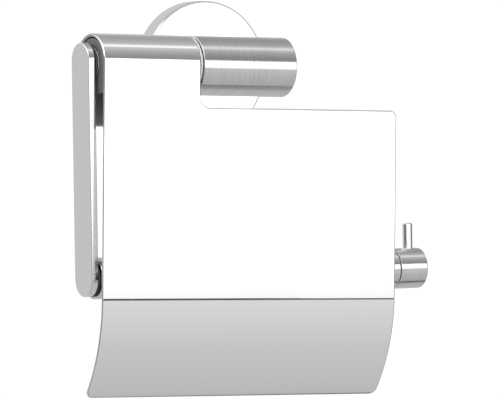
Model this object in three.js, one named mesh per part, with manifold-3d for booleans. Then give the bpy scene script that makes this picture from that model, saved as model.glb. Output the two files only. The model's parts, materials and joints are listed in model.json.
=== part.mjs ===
// Wall-mounted toilet paper holder with a lifting cover, in millimetres, +Z up.
//
// The origin is the centre of the face that lies on the wall. The wall is the plane y = 0, the room
// is towards -Y, and the free end of the roll bar points towards +X.
//
// A round rosette hides a bracket on the wall and carries a short post. The post holds a tube, the
// hub, whose axle runs to the left and ends in a flat arm. The arm hangs down and carries the roll
// bar. The cover is one bent sheet: it hooks over the axle, hangs in front of the bar and turns up.
import * as THREE from "three";
import { mergeVertices } from "three/addons/utils/BufferGeometryUtils.js";
import Module from "manifold-3d";

// Driving dimensions.
const GAP = 0.3; // clearance between neighbouring pieces
const AXLE_DISTANCE = 50; // from the wall to the axle's centre line

const ROSETTE = { radius: 25, depth: 8.9, rim: 3.5, face: 2, bevel: 0.4 };
const BRACKET = { radius: 20, depth: 5.5, recessRadius: 6, recessDepth: 2.9 };
const SCREW_SLOT = { offset: 13, halfWidth: 2.5, length: 8 };
const SET_SCREW = { radius: 2, length: 4.2, y: -3 };

const POST_RADIUS = 8;
const BOLT = { radius: 2.5, headRadius: 4.6, headDepth: 2.4, length: 18 };
const STUD = { radius: 2.5, inPost: 12, inCore: 5.5 };

const HUB = { radius: 10.75, wall: 1.75, left: -30.1, right: 8.25, bevel: 0.3 };
const HUB_CAP_DEPTH = 3;
const AXLE = { radius: 4, right: -9.4, collarRadius: 6.2, collarLeft: -70.9, collarRight: -69.95 };
const SPIGOT_RADIUS = 2; // end of the axle and of the bar, where they meet the arm
const THRUST_WASHER = { radius: 10.2, depth: 0.8 };
const ARM_WASHER = { radius: 6.5, depth: 0.6, clearance: 0.45 }; // the arm leans over it

const ARM = { face: -72.3, depth: 2.6, width: 13, top: 0.8, drop: 76.3, bevel: 0.25 };
const ARM_TILT = THREE.MathUtils.degToRad(1.57); // the bar rises a little towards its free end
// The bar is measured from the arm's inner face.
const BAR = { radius: 7.4, wall: 1.4, seam: 125.4, bevel: 0.4, rootWall: 5 };
const BAR_CAP = { right: 137, spigotLength: 10 };
const PIN = { x: 132.8, radius: 1.8, root: 0.8, top: 16.6, bevel: 0.4 };

const SHEET = 1.4; // thickness of the cover
const COVER = { left: -70.8, right: 50.5, hookRight: -31.6, hookBottom: -22.2, notch: -15.1 };
const LIP = { start: -83.35, bottom: -118.95, radius: 57.35, taper: 0.75 };
const CORNER = { notch: 3.6, top: 2.5, bottom: 2.8, hook: 2 };
const BUSH = { depth: 8, bottom: -10.6, bevel: 0.5, recess: 1.2 };
const COVER_SCREW = { radius: 1.3, headRadius: 2.5, headDepth: 1.4, length: 7.5, z: -7 };

const FINE = 64; // sides of the rosette and the hub
const MEDIUM = 40; // sides of the other round pieces
const COARSE = 20; // sides of screws and holes
const ARC_STEPS = 12; // half the number of steps along an arc of an extruded outline
const CORNER_STEPS = 3; // the same for a rounded corner
const PAST = 5; // how far a cutting body runs past what it cuts

const HALF_TURN = Math.PI;
const QUARTER_TURN = Math.PI / 2;

const material = (color, roughness, metalness) =>
  new THREE.MeshStandardMaterial({ color, roughness, metalness });
const polishedSteel = () => material(0xe6e6e8, 0.12, 1);
const brushedSteel = () => material(0xbcbabd, 0.32, 1);
const satinSteel = () => material(0xbfbfc1, 0.4, 1);
const plainSteel = () => material(0xa6a8ab, 0.45, 1);
const castZinc = () => material(0x9a9c9e, 0.55, 1);
const greyPlastic = () => material(0x5c5a5d, 0.55, 0);
const blackRubber = () => material(0x151515, 0.7, 0);

// Booleans. A closed geometry becomes a solid once its shared vertices are merged.
const wasm = await Module();
wasm.setup();

function toSolid(geometry) {
  const bare = new THREE.BufferGeometry();
  bare.setAttribute("position", geometry.getAttribute("position"));
  bare.setIndex(geometry.getIndex());
  const merged = mergeVertices(bare, 1e-4);
  const corners = merged.getIndex().array;
  const triVerts = [];
  for (let i = 0; i < corners.length; i += 3) {
    const [a, b, c] = corners.slice(i, i + 3);
    if (a !== b && b !== c && c !== a) triVerts.push(a, b, c);
  }
  return new wasm.Manifold(new wasm.Mesh({
    numProp: 3,
    vertProperties: new Float32Array(merged.getAttribute("position").array),
    triVerts: new Uint32Array(triVerts),
  }));
}

function toGeometry(solid) {
  const { vertProperties, triVerts } = solid.getMesh();
  const geometry = new THREE.BufferGeometry();
  geometry.setAttribute("position", new THREE.BufferAttribute(vertProperties, 3));
  geometry.setIndex(new THREE.BufferAttribute(triVerts, 1));
  geometry.computeVertexNormals();
  return geometry;
}

function cut(geometry, ...tools) {
  return toGeometry(tools.reduce((rest, tool) => rest.subtract(toSolid(tool)), toSolid(geometry)));
}

// Shapes. A turned piece is a list of [radius, place along the axis] in the order that keeps the
// material on the left: it starts and ends on the axis, or closes on itself.
function turnedY(profile, sides = MEDIUM) {
  return new THREE.LatheGeometry(profile.map(([r, a]) => new THREE.Vector2(r, a)), sides);
}
const turnedX = (profile, sides) => turnedY(profile, sides).rotateZ(-QUARTER_TURN);
const turnedZ = (profile, sides) => turnedY(profile, sides).rotateX(QUARTER_TURN);

const rod = (radius, from, to) => [[0, from], [radius, from], [radius, to], [0, to]];

const bevelledRod = (radius, from, to, bevel) => [
  [0, from], [radius - bevel, from], [radius, from + bevel],
  [radius, to - bevel], [radius - bevel, to], [0, to],
];

const ring = (radius, bore, from, to) => [
  [bore, from], [radius, from], [radius, to], [bore, to], [bore, from],
];

// Extrudes a shape drawn in the YZ plane along +X, from x = from to x = to.
function extrudeX(shape, from, to, bevel = 0) {
  const geometry = new THREE.ExtrudeGeometry(shape, {
    depth: to - from - 2 * bevel,
    curveSegments: ARC_STEPS,
    bevelEnabled: bevel > 0,
    bevelThickness: bevel,
    bevelSize: bevel,
    bevelOffset: -bevel,
    bevelSegments: 1,
  });
  const axes = new THREE.Matrix4().makeBasis(
    new THREE.Vector3(0, 1, 0), new THREE.Vector3(0, 0, 1), new THREE.Vector3(1, 0, 0));
  return geometry.applyMatrix4(axes).translate(from + bevel, 0, 0);
}

// Extrudes a shape drawn in the XZ plane along -Y, from y = from to y = from - depth.
function extrudeTowardsRoom(shape, from, depth) {
  const geometry = new THREE.ExtrudeGeometry(shape, {
    depth, curveSegments: CORNER_STEPS, bevelEnabled: false,
  });
  return geometry.rotateX(QUARTER_TURN).translate(0, from, 0);
}

function place(parent, name, geometry, look) {
  const mesh = new THREE.Mesh(geometry, look);
  mesh.name = name;
  parent.add(mesh);
  return mesh;
}

// Wall bracket: a cast disc with two slots for the wall screws and a recess for the bolt's head.
function wallBracket() {
  const disc = turnedY(rod(BRACKET.radius, -BRACKET.depth, 0));
  const recess = turnedY(rod(BRACKET.recessRadius, -BRACKET.depth - PAST,
    -BRACKET.depth + BRACKET.recessDepth));
  const straight = SCREW_SLOT.length / 2 - SCREW_SLOT.halfWidth;
  const slots = [-SCREW_SLOT.offset, SCREW_SLOT.offset].map((x) => {
    const outline = new THREE.Shape();
    outline.absarc(x, straight, SCREW_SLOT.halfWidth, 0, HALF_TURN);
    outline.absarc(x, -straight, SCREW_SLOT.halfWidth, HALF_TURN, 2 * HALF_TURN);
    return extrudeTowardsRoom(outline, PAST, BRACKET.depth + 2 * PAST);
  });
  return cut(disc, recess, ...slots);
}

// Rosette: a turned cup, open towards the wall, with a bolt hole and a set screw hole below.
function rosette() {
  const { radius, depth, rim, face, bevel } = ROSETTE;
  const cavity = radius - rim;
  const bore = BOLT.radius + GAP;
  const cup = turnedY([
    [bore, -depth], [radius - bevel, -depth], [radius, -depth + bevel], [radius, 0],
    [cavity, 0], [cavity, -depth + face], [bore, -depth + face], [bore, -depth],
  ], FINE);
  const hole = turnedZ(rod(SET_SCREW.radius + GAP, -radius - PAST, -cavity + 1), COARSE)
    .translate(0, SET_SCREW.y, 0);
  return cut(cup, hole);
}

function setScrew() {
  const top = -BRACKET.radius - GAP;
  return turnedZ(bevelledRod(SET_SCREW.radius, top - SET_SCREW.length, top, GAP), COARSE);
}

// Post: a round bar whose end is hollowed to fit the hub.
function post() {
  const start = -ROSETTE.depth - GAP;
  const bar = turnedY(rod(POST_RADIUS, -AXLE_DISTANCE, start));
  const boltHole = turnedY(rod(BOLT.radius + GAP, start - BOLT.length + BOLT.headDepth, PAST), COARSE);
  const hubFace = -AXLE_DISTANCE + HUB.radius;
  const studHole = turnedY(rod(STUD.radius + GAP, hubFace - PAST, hubFace + STUD.inPost), COARSE);
  const saddle = turnedX(rod(HUB.radius + GAP, -2 * POST_RADIUS, 2 * POST_RADIUS), FINE)
    .translate(0, -AXLE_DISTANCE, 0);
  return cut(bar, boltHole, studHole, saddle);
}

function postBolt() {
  const seat = -ROSETTE.depth + ROSETTE.face + GAP;
  return turnedY([
    [0, seat - BOLT.length], [BOLT.radius, seat - BOLT.length], [BOLT.radius, seat],
    [BOLT.headRadius, seat], [BOLT.headRadius, seat + BOLT.headDepth], [0, seat + BOLT.headDepth],
  ], COARSE);
}

// Hub: a brushed tube with a flush end cap and a core that holds the axle and the stud.
function hubTube() {
  const { radius, wall, left, right, bevel } = HUB;
  const inner = radius - wall;
  const tube = turnedX([
    [inner, left], [radius - bevel, left], [radius, left + bevel],
    [radius, right - bevel], [radius - bevel, right], [inner, right], [inner, left],
  ], FINE);
  const studHole = turnedY(rod(STUD.radius + GAP, inner - PAST, radius + PAST), COARSE);
  return cut(tube, studHole);
}

const hubInside = HUB.radius - HUB.wall - GAP;

const hubEndCap = () => turnedX(rod(hubInside, HUB.right - HUB_CAP_DEPTH, HUB.right));

function hubCore() {
  const core = turnedX(rod(hubInside, HUB.left, HUB.right - HUB_CAP_DEPTH - GAP));
  const axleBore = turnedX(rod(AXLE.radius + GAP, HUB.left - PAST, AXLE.right + GAP), COARSE);
  const studEnd = HUB.radius - STUD.inCore - GAP;
  const studHole = turnedY(rod(STUD.radius + GAP, studEnd, HUB.radius), COARSE);
  return cut(core, axleBore, studHole);
}

function hubStud() {
  return turnedY(rod(STUD.radius, HUB.radius - STUD.inCore, HUB.radius + STUD.inPost - GAP), COARSE);
}

// Axle: a rod with a collar at the arm's end and a spigot that passes through the washer.
function axle() {
  return turnedX([
    [0, ARM.face + GAP], [SPIGOT_RADIUS, ARM.face + GAP], [SPIGOT_RADIUS, AXLE.collarLeft],
    [AXLE.collarRadius, AXLE.collarLeft], [AXLE.collarRadius, AXLE.collarRight],
    [AXLE.radius, AXLE.collarRight], [AXLE.radius, AXLE.right], [0, AXLE.right],
  ]);
}

function thrustWasher() {
  const middle = (COVER.hookRight + HUB.left) / 2;
  const { radius, depth } = THRUST_WASHER;
  return turnedX(ring(radius, AXLE.radius + GAP, middle - depth / 2, middle + depth / 2));
}

function spigotWasher(left) {
  return turnedX(ring(ARM_WASHER.radius, SPIGOT_RADIUS + GAP, left, left + ARM_WASHER.depth));
}

// Arm: a flat bar with round ends. Arm and bar share a frame with its origin where the axle meets
// the arm, and that frame is turned by ARM_TILT.
function arm() {
  const outline = new THREE.Shape();
  outline.absarc(0, ARM.top, ARM.width / 2, 0, HALF_TURN);
  outline.absarc(0, -ARM.drop, ARM.width / 2, HALF_TURN, 2 * HALF_TURN);
  return extrudeX(outline, -ARM.depth, 0, ARM.bevel);
}

// Roll bar: a tube closed at the arm, with a solid cap at its free end.
function rollBar() {
  const { radius, wall, seam, bevel, rootWall } = BAR;
  const root = ARM_WASHER.depth + 2 * GAP;
  return turnedX([
    [0, GAP], [SPIGOT_RADIUS, GAP], [SPIGOT_RADIUS, root],
    [radius - bevel, root], [radius, root + bevel], [radius, seam], [radius - wall, seam],
    [radius - wall, root + rootWall], [0, root + rootWall],
  ]);
}

function barEndCap() {
  const { radius, wall, seam, bevel } = BAR;
  const spigot = radius - wall - GAP;
  const cap = turnedX([
    [0, seam - BAR_CAP.spigotLength], [spigot, seam - BAR_CAP.spigotLength], [spigot, seam + GAP],
    [radius, seam + GAP], [radius, BAR_CAP.right - bevel], [radius - bevel, BAR_CAP.right],
    [0, BAR_CAP.right],
  ]);
  const hole = turnedZ(rod(PIN.radius + GAP, PIN.root - GAP, radius + PAST), COARSE)
    .translate(PIN.x, 0, 0);
  return cut(cap, hole);
}

const stopPin = () => turnedZ(bevelledRod(PIN.radius, PIN.root, PIN.top, PIN.bevel), COARSE);

// Cover: the hook over the axle and the hanging plate are two extrusions joined into one sheet.
// Their profiles are drawn in the YZ plane around the hinge.
function hookProfile() {
  const outer = HUB.radius;
  const inner = outer - SHEET;
  const plateEnd = 2 * COVER.notch;
  const profile = new THREE.Shape();
  profile.moveTo(-outer, plateEnd);
  profile.lineTo(-inner, plateEnd);
  profile.absarc(0, 0, inner, HALF_TURN, 0, true);
  profile.lineTo(inner, COVER.hookBottom);
  profile.lineTo(outer, COVER.hookBottom);
  profile.absarc(0, 0, outer, 0, HALF_TURN);
  return profile;
}

function plateProfile() {
  const front = -HUB.radius;
  const sweep = Math.asin((LIP.start - LIP.bottom) / LIP.radius);
  const centre = front + LIP.radius;
  const profile = new THREE.Shape();
  profile.moveTo(front + SHEET, COVER.notch / 2);
  profile.lineTo(front, COVER.notch / 2);
  profile.absarc(centre, LIP.start, LIP.radius, HALF_TURN, HALF_TURN + sweep);
  profile.absarc(centre, LIP.start, LIP.radius - SHEET, HALF_TURN + sweep, HALF_TURN, true);
  return profile;
}

// Front view of the plate: an L with rounded corners, which leaves the hub free.
function plateOutline() {
  const { left, right, hookRight, notch } = COVER;
  const low = right - LIP.taper;
  const outline = new THREE.Shape();
  outline.moveTo(hookRight, 0);
  outline.lineTo(left, 0);
  outline.absarc(left + CORNER.bottom, LIP.bottom + CORNER.bottom, CORNER.bottom,
    HALF_TURN, 1.5 * HALF_TURN);
  outline.absarc(low - CORNER.bottom, LIP.bottom + CORNER.bottom, CORNER.bottom,
    1.5 * HALF_TURN, 2 * HALF_TURN);
  outline.lineTo(right, LIP.start);
  outline.absarc(right - CORNER.top, notch - CORNER.top, CORNER.top, 0, QUARTER_TURN);
  outline.absarc(hookRight + CORNER.notch, notch + CORNER.notch, CORNER.notch,
    1.5 * HALF_TURN, HALF_TURN, true);
  return outline;
}

// Front view of the hook: a rectangle whose lower corners, at the back, are rounded.
function hookOutline() {
  const { left, hookRight, hookBottom } = COVER;
  const outline = new THREE.Shape();
  outline.moveTo(hookRight, 2 * HUB.radius);
  outline.lineTo(left, 2 * HUB.radius);
  outline.absarc(left + CORNER.hook, hookBottom + CORNER.hook, CORNER.hook,
    HALF_TURN, 1.5 * HALF_TURN);
  outline.absarc(hookRight - CORNER.hook, hookBottom + CORNER.hook, CORNER.hook,
    1.5 * HALF_TURN, 2 * HALF_TURN);
  return outline;
}

const bushMiddles = {
  bush_left: COVER.left + BUSH.recess + BUSH.depth / 2,
  bush_right: COVER.hookRight - BUSH.recess - BUSH.depth / 2,
};

function cover() {
  const reach = 4 * HUB.radius;
  const plate = toSolid(extrudeX(plateProfile(), COVER.left - PAST, COVER.right + PAST))
    .intersect(toSolid(extrudeTowardsRoom(plateOutline(), reach, 2 * reach)));
  const hook = toSolid(extrudeX(hookProfile(), COVER.left, COVER.hookRight));
  const backRim = toSolid(extrudeTowardsRoom(hookOutline(), reach, reach));
  const front = toSolid(extrudeX(frontHalf(), COVER.left - PAST, COVER.hookRight + PAST));
  const holes = Object.values(bushMiddles).map((x) =>
    toSolid(turnedY(rod(COVER_SCREW.radius + GAP, 0, 2 * HUB.radius), COARSE)
      .translate(x, 0, COVER_SCREW.z)));
  const rounded = hook.intersect(backRim.add(front));
  return toGeometry(holes.reduce((sheet, hole) => sheet.subtract(hole), plate.add(rounded)));
}

// Everything of the hook that lies in front of the axle, for the cut that rounds its back.
function frontHalf() {
  const size = 4 * HUB.radius;
  return new THREE.Shape([
    new THREE.Vector2(-size, -size), new THREE.Vector2(0, -size),
    new THREE.Vector2(0, size), new THREE.Vector2(-size, size),
  ]);
}

// Bush: a plastic block that fills the hook and turns on the axle.
function bush() {
  const radius = HUB.radius - SHEET - GAP;
  const outline = new THREE.Shape();
  outline.absarc(0, 0, radius, 0, HALF_TURN);
  outline.lineTo(-radius, BUSH.bottom);
  outline.lineTo(radius, BUSH.bottom);
  const block = extrudeX(outline, -BUSH.depth / 2, BUSH.depth / 2, BUSH.bevel);
  const axleBore = turnedX(rod(AXLE.radius + GAP, -BUSH.depth, BUSH.depth));
  const screwHole = turnedY(rod(COVER_SCREW.radius + GAP, radius - COVER_SCREW.length, 2 * radius),
    COARSE).translate(0, 0, COVER_SCREW.z);
  return cut(block, axleBore, screwHole);
}

function coverScrew() {
  const { radius, headRadius, headDepth, length } = COVER_SCREW;
  const seat = HUB.radius + GAP;
  const bevel = headDepth / 2;
  return turnedY([
    [0, seat - length], [radius, seat - length], [radius, seat], [headRadius, seat],
    [headRadius, seat + bevel], [headRadius - bevel, seat + headDepth], [0, seat + headDepth],
  ], COARSE);
}

// Assembly.
const holder = new THREE.Group();
place(holder, "wall_bracket", wallBracket(), castZinc());
place(holder, "rosette", rosette(), polishedSteel());
place(holder, "rosette_set_screw", setScrew(), plainSteel()).position.y = SET_SCREW.y;
place(holder, "post", post(), brushedSteel());
place(holder, "post_bolt", postBolt(), plainSteel());

const hinge = new THREE.Group();
hinge.position.y = -AXLE_DISTANCE;
holder.add(hinge);
place(hinge, "hub_tube", hubTube(), brushedSteel());
place(hinge, "hub_end_cap", hubEndCap(), brushedSteel());
place(hinge, "hub_core", hubCore(), plainSteel());
place(hinge, "hub_stud", hubStud(), plainSteel());
place(hinge, "axle", axle(), plainSteel());
place(hinge, "thrust_washer", thrustWasher(), greyPlastic());
place(hinge, "arm_washer", spigotWasher(ARM.face + ARM_WASHER.clearance), blackRubber());

const hanger = new THREE.Group();
hanger.position.x = ARM.face;
hanger.rotation.y = -ARM_TILT;
hinge.add(hanger);
place(hanger, "arm", arm(), satinSteel());
const barLine = new THREE.Group();
barLine.position.z = -ARM.drop;
hanger.add(barLine);
place(barLine, "bar_washer", spigotWasher(GAP), blackRubber());
place(barLine, "roll_bar", rollBar(), brushedSteel());
place(barLine, "bar_end_cap", barEndCap(), brushedSteel());
place(barLine, "stop_pin", stopPin(), polishedSteel()).position.x = PIN.x;

const flap = new THREE.Group();
hinge.add(flap);
place(flap, "cover", cover(), polishedSteel());
for (const [name, x] of Object.entries(bushMiddles)) {
  place(flap, name, bush(), greyPlastic()).position.x = x;
  const screw = place(flap, name.replace("bush", "cover_screw"), coverScrew(), plainSteel());
  screw.position.set(x, 0, COVER_SCREW.z);
}

export default holder;
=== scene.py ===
import json
import math

import bmesh
import bpy
from mathutils import Matrix, Vector


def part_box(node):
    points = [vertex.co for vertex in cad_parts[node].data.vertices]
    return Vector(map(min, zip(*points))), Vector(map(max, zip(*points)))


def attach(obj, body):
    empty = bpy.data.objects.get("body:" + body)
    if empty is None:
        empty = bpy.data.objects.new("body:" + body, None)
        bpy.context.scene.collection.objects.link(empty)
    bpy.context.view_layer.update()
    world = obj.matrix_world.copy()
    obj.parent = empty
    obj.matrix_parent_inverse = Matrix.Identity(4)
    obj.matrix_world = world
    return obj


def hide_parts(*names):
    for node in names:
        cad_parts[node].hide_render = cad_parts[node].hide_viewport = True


# Looks of a wall-mounted toilet paper holder in polished, brushed and satin steel. Metres, +Z up,
# the wall is y = 0 and the room is towards -Y.
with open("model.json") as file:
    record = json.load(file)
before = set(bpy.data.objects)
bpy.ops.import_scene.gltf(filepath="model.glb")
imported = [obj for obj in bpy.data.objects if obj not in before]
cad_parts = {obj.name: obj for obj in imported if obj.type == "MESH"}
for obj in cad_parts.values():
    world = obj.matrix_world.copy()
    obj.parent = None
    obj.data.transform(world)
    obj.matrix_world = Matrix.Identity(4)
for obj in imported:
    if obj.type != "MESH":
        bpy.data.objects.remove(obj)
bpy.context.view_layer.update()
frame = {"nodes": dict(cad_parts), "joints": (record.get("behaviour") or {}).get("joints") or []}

MM = 0.001
HINGE = Vector(frame["joints"][0]["pos_m"])


# ---------------------------------------------------------------- camera
CAMERA_DISTANCE = 1.909
CAMERA_YAW = math.radians(30.27)
CAMERA_PITCH = math.radians(0.16)
CAMERA_ROLL = math.radians(0.46)
CAMERA_AIM = Vector((0.00686, -0.030, -0.04809))
CAMERA_LENS = 376.5


def add_camera():
    """Looks from the front left, level with the middle of the cover, through a long lens."""
    forward = Vector((math.sin(CAMERA_YAW) * math.cos(CAMERA_PITCH),
                      math.cos(CAMERA_YAW) * math.cos(CAMERA_PITCH), -math.sin(CAMERA_PITCH)))
    right = Vector((math.cos(CAMERA_YAW), -math.sin(CAMERA_YAW), 0))
    up = right.cross(forward)
    axes = Matrix((right, up, -forward)).transposed().to_4x4()
    data = bpy.data.cameras.new("camera")
    data.lens = CAMERA_LENS
    camera = bpy.data.objects.new("camera", data)
    place = Matrix.Translation(CAMERA_AIM - forward * CAMERA_DISTANCE)
    camera.matrix_world = place @ axes @ Matrix.Rotation(CAMERA_ROLL, 4, "Z")
    bpy.context.scene.collection.objects.link(camera)
    bpy.context.scene.camera = camera


add_camera()
bpy.context.scene.view_settings.view_transform = "Standard"


# ---------------------------------------------------------------- node tools
class Nodes:
    """Builds a node tree out of sockets. A value is a number to set or a socket to link."""

    def __init__(self, tree):
        self.tree = tree

    def give(self, node, name, value):
        if isinstance(value, bpy.types.NodeSocket):
            self.tree.links.new(value, node.inputs[name])
        else:
            node.inputs[name].default_value = value

    def add(self, kind, output=0, values=None, **settings):
        node = self.tree.nodes.new("ShaderNode" + kind)
        for name, setting in settings.items():
            setattr(node, name, setting)
        for name, value in (values or {}).items():
            self.give(node, name, value)
        return node.outputs[output]

    def maths(self, operation, *values):
        return self.add("Math", values=dict(enumerate(values)), operation=operation)

    def split(self, vector):
        node = self.tree.nodes.new("ShaderNodeSeparateXYZ")
        self.give(node, 0, vector)
        return node.outputs

    def ranged(self, value, from_min, from_max, to_min=0, to_max=1):
        """Maps one range to the other; outside it the value stays at the nearer end."""
        return self.add("MapRange", values={
            "Value": value, "From Min": from_min, "From Max": from_max,
            "To Min": to_min, "To Max": to_max})

    def mixed(self, factor, low, high):
        """A colour between two colours."""
        return self.add("Mix", "Result", {"Factor": factor, "A": (*low, 1), "B": (*high, 1)},
                        data_type="RGBA")

    def output(self, kind, surface):
        self.give(self.tree.nodes.new("ShaderNodeOutput" + kind), "Surface", surface)


class Look(Nodes):
    """A procedural material. Patterns are measured in the object's own metres."""

    def __init__(self, name, colour, metallic, roughness):
        self.material = bpy.data.materials.new(name)
        self.material.use_nodes = True
        super().__init__(self.material.node_tree)
        self.shader = self.tree.nodes["Principled BSDF"]
        self.colour = colour
        self.set("Base Color", (*colour, 1))
        self.set("Metallic", metallic)
        self.set("Roughness", roughness)
        self.place = self.add("TexCoord", "Object")

    def set(self, socket, value):
        self.give(self.shader, socket, value)

    def noise(self, scale, stretch=(1, 1, 1), detail=3):
        place = self.add("Mapping", values={"Vector": self.place, "Scale": stretch})
        return self.add("TexNoise", "Fac", {"Vector": place, "Scale": scale, "Detail": detail})

    def spread(self, pattern, low, high):
        """Maps the part of its range that a noise pattern uses."""
        return self.ranged(pattern, 0.3, 0.7, low, high)

    def tint(self, pattern, depth):
        """Darkens the base colour by up to depth where the pattern is low."""
        dark = [c * (1 - depth) for c in self.colour]
        self.set("Base Color", self.mixed(self.spread(pattern, 0, 1), dark, self.colour))

    def rough(self, pattern, low, high):
        self.set("Roughness", self.spread(pattern, low, high))

    def bump(self, pattern, height):
        self.set("Normal", self.add("Bump", values={
            "Height": pattern, "Strength": 1, "Distance": height}))


# ---------------------------------------------------------------- studio
# Light round the wall's horizontal axis: 0 degrees is level into the room, 90 is straight up,
# 180 is the wall side and -90 is straight down. Each entry is (degrees, red, green, blue).
STUDIO_LIGHT = [
    (-180, 0.60, 0.60, 0.61),
    (-90, 0.52, 0.51, 0.50),
    (-88, 0.03, 0.03, 0.025),
    (-80, 0.03, 0.03, 0.025),
    (-77, 0.49, 0.49, 0.49),
    (-38, 0.57, 0.57, 0.565),
    (-3, 0.70, 0.70, 0.69),
    (-1, 0.70, 0.70, 0.69),
    (1, 0.60, 0.60, 0.60),
    (20, 0.60, 0.60, 0.60),
    (22, 0.26, 0.255, 0.265),
    (36, 0.32, 0.32, 0.33),
    (52, 0.44, 0.43, 0.44),
    (66, 0.60, 0.59, 0.60),
    (70, 1.00, 1.00, 1.00),
    (76, 1.00, 1.00, 1.00),
    (80, 0.60, 0.59, 0.60),
    (92, 0.45, 0.44, 0.45),
    (117, 0.36, 0.36, 0.36),
    (134, 0.38, 0.38, 0.38),
    (152, 0.60, 0.60, 0.61),
    (180, 0.60, 0.60, 0.61),
]
SIDE_SHADE = 0.28  # how much of the light is left far to either side, where dark cards stand
SHADE_START, SHADE_END = 0.75, 0.95  # sideways, from 0 in the middle to 1 at the side
LEFT_BOOST = 3  # a soft light high on the left adds this many times the light there
BOOST_START, BOOST_END = -0.35, -0.5  # sideways; minus is left
BOOST_LOW, BOOST_HIGH = 0.2, 0.35  # upwards, from 0 at the level to 1 overhead
BACKGROUND = 1.05  # just above white, so the backdrop stays pure white


def add_world():
    """The studio for light and reflections, plain white for the camera."""
    world = bpy.data.worlds.new("studio")
    world.use_nodes = True
    nodes = Nodes(world.node_tree)
    nodes.tree.nodes.clear()
    x, y, z = nodes.split(nodes.add("TexCoord", "Generated"))
    angle = nodes.maths("ARCTAN2", z, nodes.maths("MULTIPLY", y, -1))
    ramp = nodes.tree.nodes.new("ShaderNodeValToRGB")
    nodes.give(ramp, "Fac", nodes.ranged(angle, -math.pi, math.pi))
    stops = ramp.color_ramp.elements
    while len(stops) < len(STUDIO_LIGHT):
        stops.new(1)
    for stop, (degrees, *colour) in zip(stops, STUDIO_LIGHT):
        stop.position = (degrees + 180) / 360
        stop.color = (*colour, 1)
    sides = nodes.ranged(nodes.maths("ABSOLUTE", x), SHADE_START, SHADE_END, 1, SIDE_SHADE)
    left = nodes.ranged(x, BOOST_START, BOOST_END, 0, LEFT_BOOST)
    above = nodes.ranged(z, BOOST_LOW, BOOST_HIGH)
    share = nodes.maths("MULTIPLY_ADD", left, above, sides)
    shaded = nodes.add("VectorMath", values={0: ramp.outputs["Color"], "Scale": share},
                       operation="SCALE")
    room = nodes.add("Background", values={"Color": shaded})
    backdrop = nodes.add("Background", values={"Color": (BACKGROUND, BACKGROUND, BACKGROUND, 1)})
    seen = nodes.add("LightPath", "Is Camera Ray")
    nodes.output("World", nodes.add("MixShader", values={"Fac": seen, 1: room, 2: backdrop}))
    bpy.context.scene.world = world


PANEL_DISTANCE = 0.595  # in front of the wall
PANEL_LEFT, PANEL_RIGHT = -0.75, 0.50
PANEL_BOTTOM, PANEL_TOP = -0.099, 0.192
PANEL_SOFT = -0.03  # below this height the panel gets weaker
PANEL_LIGHT, PANEL_EDGE_LIGHT = 1.7, 0.96
PANEL_FRAME = 0.011  # height of the dark frame along the lower edge
FRAME_COLOUR = (0.1, 0.1, 0.1)


def panel_part(name, bottom, top, material):
    corners = [(PANEL_LEFT, bottom), (PANEL_RIGHT, bottom), (PANEL_RIGHT, top), (PANEL_LEFT, top)]
    mesh = bpy.data.meshes.new(name)
    mesh.from_pydata([(x, -PANEL_DISTANCE, z) for x, z in corners], [], [(3, 2, 1, 0)])
    mesh.materials.append(material)
    part = bpy.data.objects.new(name, mesh)
    part.visible_camera = False
    part.visible_shadow = False
    bpy.context.scene.collection.objects.link(part)


def add_panel():
    """A wide light panel in front of the holder with a dark frame below it."""
    glow = bpy.data.materials.new("panel_light")
    glow.use_nodes = True
    nodes = Nodes(glow.node_tree)
    nodes.tree.nodes.clear()
    height = nodes.split(nodes.add("TexCoord", "Object"))["Z"]
    strength = nodes.ranged(height, PANEL_BOTTOM, PANEL_SOFT, PANEL_EDGE_LIGHT, PANEL_LIGHT)
    nodes.output("Material", nodes.add("Emission", values={"Strength": strength}))
    panel_part("light_panel", PANEL_BOTTOM, PANEL_TOP, glow)
    dark = Look("panel_frame", FRAME_COLOUR, 0, 0.5)
    dark.set("Specular IOR Level", 0)
    panel_part("panel_frame", PANEL_BOTTOM - PANEL_FRAME, PANEL_BOTTOM, dark.material)


SUN_STRENGTH = 2.9
SUN_SPREAD, SUN_TILT, SUN_TURN = math.radians(60), math.radians(40), math.radians(-35)


def add_sun():
    """Soft light for the matt pieces and the floor. Steel mirrors only the studio around it."""
    data = bpy.data.lights.new("soft_light", "SUN")
    data.energy = SUN_STRENGTH
    data.angle = SUN_SPREAD
    lamp = bpy.data.objects.new("soft_light", data)
    lamp.rotation_euler = (SUN_TILT, 0, SUN_TURN)
    lamp.visible_glossy = False
    bpy.context.scene.collection.objects.link(lamp)


add_world()
add_panel()
add_sun()


# ---------------------------------------------------------------- materials
STEEL = (0.97, 0.97, 0.975)


def polished_steel():
    look = Look("polished_steel", STEEL, 1, 0.05)
    look.tint(look.noise(60), 0.015)
    look.rough(look.noise(45, detail=5), 0.02, 0.04)
    return look.material


def brushed_steel(name, colour, axis, roughness, depth):
    """Fine rings round the axis, of a depth in metres, which stretch the highlights along it."""
    def along(fine, coarse):
        return [fine if axis == other else coarse for other in "XYZ"]

    look = Look(name, colour, 1, 0.2)
    streaks = look.noise(1, stretch=along(2600, 60), detail=4)
    look.tint(streaks, 0.12)
    look.rough(look.noise(1, stretch=along(900, 90)), *roughness)
    look.bump(streaks, depth)
    look.set("Tangent", look.add("Tangent", direction_type="RADIAL", axis=axis))
    look.set("Anisotropic", 0.9)
    look.set("Anisotropic Rotation", 0.25)
    return look.material


def satin_steel():
    look = Look("satin_steel", (0.90, 0.90, 0.91), 1, 0.15)
    streaks = look.noise(1, stretch=(500, 1900, 40), detail=4)
    look.tint(streaks, 0.04)
    look.rough(look.noise(1, stretch=(300, 700, 50)), 0.12, 0.18)
    look.bump(streaks, 0.5e-6)
    return look.material


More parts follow.
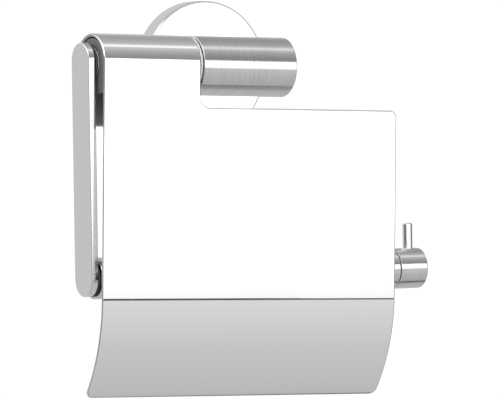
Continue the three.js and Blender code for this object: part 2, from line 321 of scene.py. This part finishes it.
def turned_steel():
    look = Look("turned_steel", (0.66, 0.66, 0.67), 1, 0.35)
    marks = look.noise(1, stretch=(1500, 1500, 1500), detail=3)
    look.tint(marks, 0.08)
    look.rough(marks, 0.3, 0.42)
    look.bump(marks, 2e-6)
    return look.material


def cast_zinc():
    look = Look("cast_zinc", (0.52, 0.53, 0.54), 1, 0.5)
    pits = look.noise(900, detail=5)
    look.tint(look.noise(120, detail=4), 0.12)
    look.rough(pits, 0.45, 0.6)
    look.bump(pits, 30e-6)
    return look.material


def grey_plastic(name, colour):
    look = Look(name, colour, 0, 0.45)
    grain = look.noise(2600, detail=4)
    look.tint(look.noise(500), 0.15)
    look.rough(grain, 0.4, 0.55)
    look.bump(grain, 12e-6)
    return look.material


def black_rubber():
    look = Look("black_rubber", (0.04, 0.04, 0.04), 0, 0.6)
    grain = look.noise(3000, detail=4)
    look.tint(grain, 0.3)
    look.rough(grain, 0.55, 0.7)
    look.bump(grain, 10e-6)
    return look.material


POLISHED = polished_steel()
BRUSHED = brushed_steel("brushed_tube", (0.84, 0.828, 0.82), "X", (0.17, 0.22), 0.12e-6)
BRUSHED_POST = brushed_steel("brushed_post", (0.86, 0.85, 0.85), "Y", (0.16, 0.24), 0.4e-6)
SATIN = satin_steel()
TURNED = turned_steel()
ZINC = cast_zinc()
PLASTIC = grey_plastic("grey_plastic", (0.11, 0.105, 0.11))
PALE_PLASTIC = grey_plastic("pale_plastic", (0.5, 0.5, 0.5))
RUBBER = black_rubber()


# ---------------------------------------------------------------- mesh tools
AXES = {
    "X": (Vector((1, 0, 0)), Vector((0, 1, 0)), Vector((0, 0, 1))),
    "Y": (Vector((0, 1, 0)), Vector((0, 0, 1)), Vector((1, 0, 0))),
    "Z": (Vector((0, 0, 1)), Vector((1, 0, 0)), Vector((0, 1, 0))),
}
SHARP = math.radians(40)
ROUND_STEPS = 4


def rounded(points, radius):
    """Rounds the corners of an open polyline; its ends stay."""
    result = [Vector(points[0])]
    for before, corner, after in zip(points, points[1:], points[2:]):
        before, corner, after = Vector(before), Vector(corner), Vector(after)
        back, on = before - corner, after - corner
        reach = min(radius, 0.45 * back.length, 0.45 * on.length)
        start, end = corner + back.normalized() * reach, corner + on.normalized() * reach
        for i in range(ROUND_STEPS + 1):
            t = i / ROUND_STEPS
            result.append(start * (1 - t) ** 2 + corner * 2 * t * (1 - t) + end * t ** 2)
    result.append(Vector(points[-1]))
    return result


def finish_mesh(name, bm, material, place=None):
    bmesh.ops.remove_doubles(bm, verts=bm.verts, dist=1e-7)
    bmesh.ops.recalc_face_normals(bm, faces=bm.faces)
    mesh = bpy.data.meshes.new(name)
    bm.to_mesh(mesh)
    bm.free()
    if place is not None:
        mesh.transform(place)
    mesh.materials.append(material)
    piece = bpy.data.objects.new(name, mesh)
    bpy.context.scene.collection.objects.link(piece)
    return piece


def smooth(piece):
    for polygon in piece.data.polygons:
        polygon.use_smooth = True
    piece.data.set_sharp_from_angle(angle=SHARP)
    normals = piece.modifiers.new("even_normals", "WEIGHTED_NORMAL")
    normals.keep_sharp = True


def rod(start, end, radius):
    """The profile of a plain round bar."""
    return [(start, 0), (start, radius), (end, radius), (end, 0)]


def pipe(start, end, bore, radius):
    """The closed profile of a plain ring."""
    return [(start, bore), (start, radius), (end, radius), (end, bore)]


def turned(name, profile, material, axis="X", centre=(0, 0, 0), edge=0.3 * MM, sides=128,
           closed=False, place=None):
    """Turns a profile of (place along the axis, radius) into a solid. A closed profile is a ring."""
    along, side, other = AXES[axis]
    centre = Vector(centre)
    if closed:
        middle = (Vector(profile[0]) + Vector(profile[-1])) / 2
        line = rounded([middle, *profile, middle], edge)[:-1]
    else:
        line = rounded(profile, edge)
    bm = bmesh.new()
    rings = []
    for a, r in line:
        if r < 1e-7:
            rings.append([bm.verts.new(centre + along * a)])
            continue
        rings.append([
            bm.verts.new(centre + along * a + r * (side * math.cos(t) + other * math.sin(t)))
            for t in (2 * math.pi * i / sides for i in range(sides))])
    pairs = list(zip(rings, rings[1:]))
    if closed:
        pairs.append((rings[-1], rings[0]))
    for low, high in pairs:
        for i in range(sides):
            j = (i + 1) % sides
            if len(low) == 1 and len(high) > 1:
                bm.faces.new((low[0], high[i], high[j]))
            elif len(high) == 1 and len(low) > 1:
                bm.faces.new((low[i], low[j], high[0]))
            elif len(high) > 1:
                bm.faces.new((low[i], low[j], high[j], high[i]))
    return finish_mesh(name, bm, material, place)


def slab(name, outline, axis, start, end, material, edge=0.3 * MM, place=None):
    """A flat plate of an outline in the plane across the axis, with rounded rims."""
    along, side, other = AXES[axis]
    bm = bmesh.new()
    base = bm.faces.new([bm.verts.new(along * start + side * u + other * v) for u, v in outline])
    extruded = bmesh.ops.extrude_face_region(bm, geom=[base])
    lifted = [g for g in extruded["geom"] if isinstance(g, bmesh.types.BMVert)]
    bmesh.ops.translate(bm, verts=lifted, vec=along * (end - start))
    if edge:
        rims = [e for e in bm.edges
                if abs((e.verts[0].co - e.verts[1].co).dot(along)) < 1e-9]
        bmesh.ops.bevel(bm, geom=rims, offset=edge, segments=3, profile=0.5, affect="EDGES")
    return finish_mesh(name, bm, material, place)


def arc(centre, radius, start, end, steps):
    """Points of an arc; the angles are in degrees."""
    angles = [math.radians(start + (end - start) * i / steps) for i in range(steps + 1)]
    return [(centre[0] + radius * math.cos(a), centre[1] + radius * math.sin(a)) for a in angles]


def carve(piece, *tools):
    """Cuts the tools out of the piece and removes them."""
    for tool in tools:
        cut = piece.modifiers.new("cut", "BOOLEAN")
        cut.operation = "DIFFERENCE"
        cut.solver = "EXACT"
        cut.object = tool
    bpy.context.view_layer.update()
    evaluated = piece.evaluated_get(bpy.context.evaluated_depsgraph_get())
    mesh = bpy.data.meshes.new_from_object(evaluated)
    mesh.name = piece.name
    piece.modifiers.clear()
    piece.data = mesh
    for tool in tools:
        bpy.data.objects.remove(tool)
    return piece


def done(piece, node, body):
    """Puts the finished piece on its body, in the place of its CAD node."""
    smooth(piece)
    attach(piece, body)
    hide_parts(node)


# ---------------------------------------------------------------- wall side
GAP = 0.3 * MM
OVERCUT = 1 * MM  # how far a cutting tool stands out of the piece
KEY_RADIUS = 1 * MM  # the hexagon sockets of the small screws
ROSETTE_RIM, ROSETTE_FACE, ROSETTE_BORE = 3.5 * MM, 2 * MM, 2.8 * MM
SET_SCREW_HOLE, SET_SCREW_KEY = 2.3 * MM, 1.5 * MM
BRACKET_RECESS, BRACKET_FLOOR = 6 * MM, 2.9 * MM
SLOT_PLACE, SLOT_RADIUS, SLOT_REACH = 13 * MM, 2.5 * MM, 1.5 * MM


def build_rosette():
    low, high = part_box("rosette")
    radius = (high.x - low.x) / 2
    inner = radius - ROSETTE_RIM
    back = low.y + ROSETTE_FACE
    cup = turned("rosette_shell", [
        (low.y, ROSETTE_BORE), (low.y, radius), (0, radius), (0, inner),
        (back, inner), (back, ROSETTE_BORE),
    ], POLISHED, "Y", edge=0.8 * MM, sides=192, closed=True)
    screw_low, screw_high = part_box("rosette_set_screw")
    middle = (screw_low + screw_high) / 2
    hole = turned("tool", rod(-1.2 * radius, 1.2 * ROSETTE_RIM - radius, SET_SCREW_HOLE),
                  TURNED, "Z", (middle.x, middle.y, 0), sides=48)
    done(carve(cup, hole), "rosette", "holder")


def build_set_screw():
    low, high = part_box("rosette_set_screw")
    middle = (low + high) / 2
    axis = (middle.x, middle.y, 0)
    screw = turned("set_screw", rod(low.z, high.z, (high.x - low.x) / 2),
                   TURNED, "Z", axis, edge=0.4 * MM, sides=48)
    key = turned("tool", rod(low.z - OVERCUT, low.z + SET_SCREW_KEY, KEY_RADIUS),
                 TURNED, "Z", axis, edge=0, sides=6)
    done(carve(screw, key), "rosette_set_screw", "holder")


def build_bracket():
    low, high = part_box("wall_bracket")
    radius = (high.x - low.x) / 2
    floor = low.y + BRACKET_FLOOR
    plate = turned("bracket_plate", [
        (floor, 0), (floor, BRACKET_RECESS), (low.y, BRACKET_RECESS), (low.y, radius),
        (0, radius), (0, 0),
    ], ZINC, "Y", edge=0.5 * MM, sides=128)
    tools = []
    for x in (-SLOT_PLACE, SLOT_PLACE):
        # In the plane across Y, the first direction is Z and the second is X.
        outline = arc((SLOT_REACH, x), SLOT_RADIUS, -90, 90, 16)
        outline += arc((-SLOT_REACH, x), SLOT_RADIUS, 90, 270, 16)
        tools.append(slab("tool", outline, "Y", low.y - OVERCUT, OVERCUT, ZINC, edge=0))
    done(carve(plate, *tools), "wall_bracket", "holder")


def build_post():
    low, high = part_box("post")
    radius = (high.x - low.x) / 2
    bar = turned("post_bar", rod(HINGE.y, high.y, radius), BRUSHED_POST, "Y", sides=128)
    hub_low, hub_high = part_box("hub_tube")
    saddle_radius = (hub_high.z - hub_low.z) / 2 + GAP
    saddle = turned("tool", rod(-2 * radius, 2 * radius, saddle_radius),
                    BRUSHED_POST, "X", HINGE, edge=0, sides=192)
    done(carve(bar, saddle), "post", "holder")


build_rosette()
build_set_screw()
build_bracket()
build_post()


# ---------------------------------------------------------------- hub and axle
HUB_WALL = 1.75 * MM
SPIGOT, SHAFT = 2 * MM, 4 * MM
COLLAR_LEFT, COLLAR_RIGHT = 1.1 * MM, 2.05 * MM  # from the axle's left end


def build_hub():
    low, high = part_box("hub_tube")
    radius = (high.z - low.z) / 2
    tube = turned("hub_shell", pipe(low.x, high.x, radius - HUB_WALL, radius),
                  BRUSHED, "X", HINGE, edge=0.4 * MM, sides=192, closed=True)
    done(tube, "hub_tube", "holder")
    low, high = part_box("hub_end_cap")
    cap = turned("hub_cap_disc", rod(low.x, high.x, (high.z - low.z) / 2),
                 BRUSHED, "X", HINGE, sides=128)
    done(cap, "hub_end_cap", "holder")


def build_axle():
    low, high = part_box("axle")
    collar = (high.z - low.z) / 2
    left, right = low.x + COLLAR_LEFT, low.x + COLLAR_RIGHT
    axle = turned("axle_rod", [
        (low.x, 0), (low.x, SPIGOT), (left, SPIGOT), (left, collar),
        (right, collar), (right, SHAFT), (high.x, SHAFT), (high.x, 0),
    ], TURNED, "X", HINGE, edge=0.25 * MM, sides=96)
    done(axle, "axle", "holder")


def build_ring(name, node, bore, material):
    low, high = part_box(node)
    ring = turned(name, pipe(low.x, high.x, bore, (high.z - low.z) / 2),
                  material, "X", HINGE, edge=0.2 * MM, sides=128, closed=True)
    done(ring, node, "holder")


build_hub()
build_axle()
build_ring("thrust_ring", "thrust_washer", SHAFT + GAP, PALE_PLASTIC)
build_ring("arm_ring", "arm_washer", SPIGOT + GAP, RUBBER)


# ---------------------------------------------------------------- arm and bar
# These pieces share a frame that leans by TILT where the axle meets the arm's inner face.
TILT = math.radians(1.57)
ARM_FACE, ARM_DEPTH, ARM_WIDTH = -72.3 * MM, 2.6 * MM, 13 * MM
ARM_TOP, BAR_DROP = 0.8 * MM, 76.3 * MM
BAR_RADIUS, BAR_WALL, SEAM, BAR_RIGHT = 7.4 * MM, 1.4 * MM, 125.4 * MM, 137 * MM
WASHER, WASHER_RADIUS = 0.6 * MM, 6.5 * MM
PLUG, INSERT = 5 * MM, 10 * MM  # the solid left end of the bar, and the cap's part inside the bar
PIN_X, PIN_RADIUS, PIN_ROOT, PIN_TOP = 132.8 * MM, 1.8 * MM, 0.8 * MM, 16.6 * MM
PIN_HOLE, PIN_CLEARANCE = 0.5 * MM, 0.12 * MM

LEAN = Matrix.Translation(HINGE + Vector((ARM_FACE, 0, 0))) @ Matrix.Rotation(-TILT, 4, "Y")
BAR_FRAME = LEAN @ Matrix.Translation((0, 0, -BAR_DROP))


def build_arm():
    half = ARM_WIDTH / 2
    outline = arc((0, ARM_TOP), half, 0, 180, 48) + arc((0, -BAR_DROP), half, 180, 360, 48)
    bar = slab("arm_bar", outline, "X", -ARM_DEPTH, 0, SATIN, edge=0.35 * MM, place=LEAN)
    done(bar, "arm", "holder")


def build_bar():
    washer = turned("bar_ring", pipe(GAP, GAP + WASHER, SPIGOT + GAP, WASHER_RADIUS),
                    RUBBER, "X", edge=0.2 * MM, sides=128, closed=True, place=BAR_FRAME)
    done(washer, "bar_washer", "holder")
    root = WASHER + 2 * GAP
    inner = BAR_RADIUS - BAR_WALL
    tube = turned("bar_tube", [
        (GAP, 0), (GAP, SPIGOT), (root, SPIGOT), (root, BAR_RADIUS), (SEAM, BAR_RADIUS),
        (SEAM, inner), (root + PLUG, inner), (root + PLUG, 0),
    ], BRUSHED, "X", edge=0.4 * MM, sides=160, place=BAR_FRAME)
    done(tube, "roll_bar", "holder")
    fit = inner - GAP
    cap = turned("bar_cap", [
        (SEAM - INSERT, 0), (SEAM - INSERT, fit), (SEAM + GAP, fit),
        (SEAM + GAP, BAR_RADIUS), (BAR_RIGHT, BAR_RADIUS), (BAR_RIGHT, 0),
    ], BRUSHED, "X", edge=0.45 * MM, sides=160)
    hole = turned("tool", rod(PIN_HOLE, BAR_RADIUS + OVERCUT, PIN_RADIUS + PIN_CLEARANCE),
                  POLISHED, "Z", (PIN_X, 0, 0), edge=0, sides=64)
    carve(cap, hole)
    cap.data.transform(BAR_FRAME)
    done(cap, "bar_end_cap", "holder")


def build_pin():
    pin = turned("end_pin", rod(PIN_ROOT, PIN_TOP, PIN_RADIUS), POLISHED, "Z", (PIN_X, 0, 0),
                 edge=0.6 * MM, sides=64, place=BAR_FRAME)
    done(pin, "stop_pin", "holder")


build_arm()
build_bar()
build_pin()


# ---------------------------------------------------------------- cover
SHEET = 1.4 * MM
ROLL = 10.75 * MM
LEFT, RIGHT, HOOK_RIGHT = -70.8 * MM, 50.5 * MM, -31.6 * MM
HOOK_LEG, NOTCH = 22.2 * MM, -15.1 * MM
LIP_START, LIP_BOTTOM, LIP_RADIUS, TAPER = -83.35 * MM, -118.95 * MM, 57.35 * MM, 0.75 * MM
HOOK_CORNER, NOTCH_CORNER, TOP_CORNER, LOW_CORNER = 2 * MM, 3.6 * MM, 2.5 * MM, 2.8 * MM
CREASE = 0.3 * MM  # the flat parts are kept flat up to this distance from the bends
HOOK_STEPS, LIP_STEPS = 48, 40
LIP_SWEEP = math.asin((LIP_START - LIP_BOTTOM) / LIP_RADIUS)
SHEET_TOP = math.pi * ROLL + HOOK_LEG
SHEET_END = LIP_START - LIP_RADIUS * LIP_SWEEP


def on_sheet(x, s, depth):
    """A point of the bent sheet, around the hinge. s runs along its outer face: 0 is level with the
    hinge at the front, positive goes over the hook and down the leg, negative goes down the plate
    and along the lip. depth is the distance below the outer face."""
    if s > math.pi * ROLL:
        return Vector((x, ROLL - depth, math.pi * ROLL - s))
    if s > 0:
        angle = s / ROLL
        radius = ROLL - depth
        return Vector((x, -radius * math.cos(angle), radius * math.sin(angle)))
    if s > LIP_START:
        return Vector((x, -ROLL + depth, s))
    angle = (LIP_START - s) / LIP_RADIUS
    radius = LIP_RADIUS - depth
    return Vector((x, LIP_RADIUS - ROLL - radius * math.cos(angle),
                   LIP_START - radius * math.sin(angle)))


def sheet_outline():
    """The flat sheet before bending, in (x, s), with rounded corners."""
    hook_top = SHEET_TOP - HOOK_CORNER
    low_right = RIGHT - TAPER - LOW_CORNER
    low_end = SHEET_END + LOW_CORNER
    outline = arc((LEFT + HOOK_CORNER, hook_top), HOOK_CORNER, 180, 90, 10)
    outline += arc((HOOK_RIGHT - HOOK_CORNER, hook_top), HOOK_CORNER, 90, 0, 10)
    outline += arc((HOOK_RIGHT + NOTCH_CORNER, NOTCH + NOTCH_CORNER), NOTCH_CORNER, 180, 270, 14)
    outline += arc((RIGHT - TOP_CORNER, NOTCH - TOP_CORNER), TOP_CORNER, 90, 0, 12)
    outline.append((RIGHT, LIP_START))
    outline += arc((low_right, low_end), LOW_CORNER, 0, -90, 12)
    outline += arc((LEFT + LOW_CORNER, low_end), LOW_CORNER, -90, -180, 12)
    return outline


# The colour inside the hook: partly its matt finish, partly painted shade, darker than the steel.
HOOK_MATT_AND_SHADE = (0.5, 0.495, 0.48)
DULL_ROUGHNESS = 0.3
SKIN = 0.35 * MM  # the outer face's finish reaches this far round the edges


def sheet_steel():
    """Polished, but matt inside the hook, where a darker colour is also painted shade for the shade
    the hook casts on itself. The distance from the two bend lines tells the sides apart."""
    look = Look("sheet_steel", STEEL, 1, 0.05)
    _, y, z = look.split(look.place)
    roll_y = look.maths("SUBTRACT", y, HINGE.y)
    roll_z = look.maths("MAXIMUM", look.maths("SUBTRACT", z, HINGE.z), 0)
    lip_y = look.maths("SUBTRACT", y, HINGE.y + LIP_RADIUS - ROLL)
    lip_z = look.maths("MINIMUM", look.maths("SUBTRACT", z, HINGE.z + LIP_START), 0)

    def within(a, b, radius):
        squares = look.maths("ADD", look.maths("MULTIPLY", a, a), look.maths("MULTIPLY", b, b))
        return look.maths("LESS_THAN", look.maths("SQRT", squares), radius - SKIN)

    in_bends = look.maths("MULTIPLY", within(roll_y, roll_z, ROLL), within(lip_y, lip_z, LIP_RADIUS))
    in_hook = look.maths("GREATER_THAN", z, HINGE.z - HOOK_LEG - MM)
    inside = look.maths("MULTIPLY", in_hook, in_bends)
    # Painted shade: the inside of the hook is coloured darker than the steel, beyond its matt
    # finish.
    look.set("Base Color", look.mixed(inside, STEEL, HOOK_MATT_AND_SHADE))
    polish = look.spread(look.noise(45, detail=5), 0.015, 0.03)
    look.set("Roughness", look.maths("ADD", polish, look.maths("MULTIPLY", inside, DULL_ROUGHNESS)))
    return look.material


SHEET_STEEL = sheet_steel()


def build_cover():
    bm = bmesh.new()
    base = bm.faces.new([bm.verts.new((x, s, 0)) for x, s in sheet_outline()])
    extruded = bmesh.ops.extrude_face_region(bm, geom=[base])
    lifted = [g for g in extruded["geom"] if isinstance(g, bmesh.types.BMVert)]
    bmesh.ops.translate(bm, verts=lifted, vec=(0, 0, SHEET))
    rims = [e for e in bm.edges if abs(e.verts[0].co.z - e.verts[1].co.z) < 1e-9]
    bmesh.ops.bevel(bm, geom=rims, offset=0.65 * MM, segments=6, profile=0.5, affect="EDGES")
    cuts = [-CREASE, LIP_START + CREASE, math.pi * ROLL + CREASE]
    cuts += [math.pi * ROLL * i / HOOK_STEPS for i in range(HOOK_STEPS + 1)]
    cuts += [LIP_START - LIP_RADIUS * LIP_SWEEP * i / LIP_STEPS for i in range(LIP_STEPS)]
    for s in cuts:
        bmesh.ops.bisect_plane(bm, geom=bm.verts[:] + bm.edges[:] + bm.faces[:], dist=1e-8,
                               plane_co=(0, s, 0), plane_no=(0, 1, 0))
    for v in bm.verts:
        v.co = on_sheet(*v.co)
    sheet = finish_mesh("cover_sheet", bm, SHEET_STEEL, Matrix.Translation(HINGE))
    done(sheet, "cover", "cover_flap")


COLLAR_BORE = 6.5 * MM
SCREW_SHANK, SCREW_HEAD, SCREW_KEY = 1.3 * MM, 1.4 * MM, 0.9 * MM
HEAD_TAPER = 0.8


def build_bush(name, node, flush):
    """flush is how far its rim stands out around the axle's collar."""
    low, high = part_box(node)
    radius = (high.y - low.y) / 2
    bottom = low.z - HINGE.z
    outline = arc((0, 0), radius, 0, 180, 64) + [(-radius, bottom), (radius, bottom)]
    block = slab(name, outline, "X", low.x - flush, high.x, PLASTIC, edge=0.5 * MM,
                 place=Matrix.Translation(HINGE))
    bore = turned("tool", [
        (low.x - OVERCUT, 0), (low.x - OVERCUT, COLLAR_BORE), (low.x, COLLAR_BORE),
        (low.x, SHAFT + GAP), (high.x + OVERCUT, SHAFT + GAP), (high.x + OVERCUT, 0),
    ], PLASTIC, "X", HINGE, edge=0, sides=96)
    done(carve(block, bore), node, "cover_flap")


def build_cover_screw(name, node):
    low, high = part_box(node)
    middle = (low + high) / 2
    axis = (middle.x, 0, middle.z)
    head = (high.x - low.x) / 2
    seat = high.y - SCREW_HEAD
    screw = turned(name, [
        (low.y, 0), (low.y, SCREW_SHANK), (seat, SCREW_SHANK), (seat, head),
        (high.y, head * HEAD_TAPER), (high.y, 0),
    ], TURNED, "Y", axis, edge=0.5 * MM, sides=64)
    key = turned("tool", rod(high.y - SCREW_KEY, high.y + OVERCUT, KEY_RADIUS),
                 TURNED, "Y", axis, edge=0, sides=6)
    done(carve(screw, key), node, "cover_flap")


build_cover()
build_bush("bush_block_left", "bush_left", 0.9 * MM)
build_bush("bush_block_right", "bush_right", 0)
build_cover_screw("cover_fixing_left", "cover_screw_left")
build_cover_screw("cover_fixing_right", "cover_screw_right")


# ---------------------------------------------------------------- hidden CAD nodes
for node in ("post_bolt", "hub_core", "hub_stud"):
    materials = frame["nodes"][node].data.materials
    materials.clear()
    materials.append(TURNED)


# ---------------------------------------------------------------- floor
FLOOR_DROP, FLOOR_DEPTH, FLOOR_RADIUS = 0.5, 0.01, 4.0


def add_floor():
    look = Look("floor", (0.92, 0.92, 0.92), 0, 0.6)
    look.tint(look.noise(8), 0.02)
    floor = turned("floor", rod(-FLOOR_DROP - FLOOR_DEPTH, -FLOOR_DROP, FLOOR_RADIUS),
                   look.material, "Z", (0, -0.1, 0), edge=4 * MM, sides=96)
    smooth(floor)
    floor.visible_glossy = False


add_floor()
